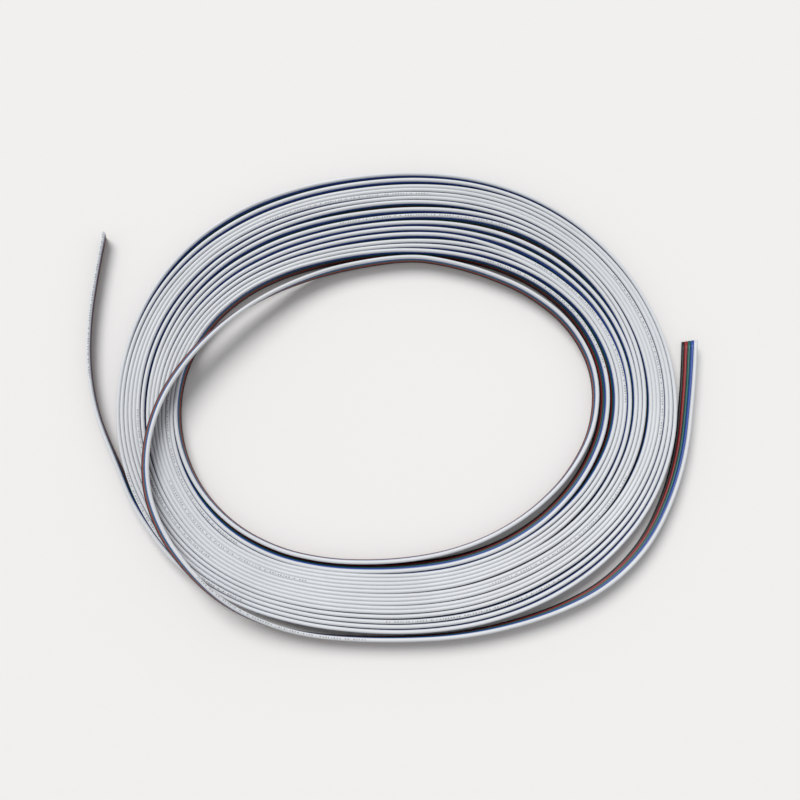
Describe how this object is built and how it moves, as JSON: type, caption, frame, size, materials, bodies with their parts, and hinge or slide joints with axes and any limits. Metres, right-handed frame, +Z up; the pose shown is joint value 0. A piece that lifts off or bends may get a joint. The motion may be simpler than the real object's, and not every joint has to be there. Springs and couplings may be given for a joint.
{
  "type": "flat ribbon cable coil",
  "caption": "Five-core flat ribbon cable for colour LED strips, wound on edge into a loose oval coil, with both cut ends free.",
  "frame": {"origin": "middle of the whole cable's box in plan, on the surface that the coil lies on", "axes": "+Z up, out of the coil's plane, through its hole; +X along the coil's long way, towards the side where the inner end finishes; +Y towards the side where the inner end leaves the hole"},
  "size_m": [0.2641, 0.2013, 0.019],
  "materials": {
    "white_pvc": "satin PVC",
    "blue_pvc": "satin PVC",
    "green_pvc": "satin PVC",
    "red_pvc": "satin PVC",
    "black_pvc": "satin PVC",
    "copper": "bare stranded copper"
  },
  "bodies": {
    "root": {"black_coil": "black_pvc", "black_jacket_outer_end": "black_pvc", "black_core_outer_end": "copper", "black_jacket_inner_end": "black_pvc", "black_core_inner_end": "copper", "red_coil": "red_pvc", "red_jacket_outer_end": "red_pvc", "red_core_outer_end": "copper", "red_jacket_inner_end": "red_pvc", "red_core_inner_end": "copper", "green_coil": "green_pvc", "green_jacket_outer_end": "green_pvc", "green_core_outer_end": "copper", "green_jacket_inner_end": "green_pvc", "green_core_inner_end": "copper", "blue_coil": "blue_pvc", "blue_jacket_outer_end": "blue_pvc", "blue_core_outer_end": "copper", "blue_jacket_inner_end": "blue_pvc", "blue_core_inner_end": "copper", "white_coil": "white_pvc", "white_jacket_outer_end": "white_pvc", "white_core_outer_end": "copper", "white_jacket_inner_end": "white_pvc", "white_core_inner_end": "copper"}
  },
  "joints": []
}
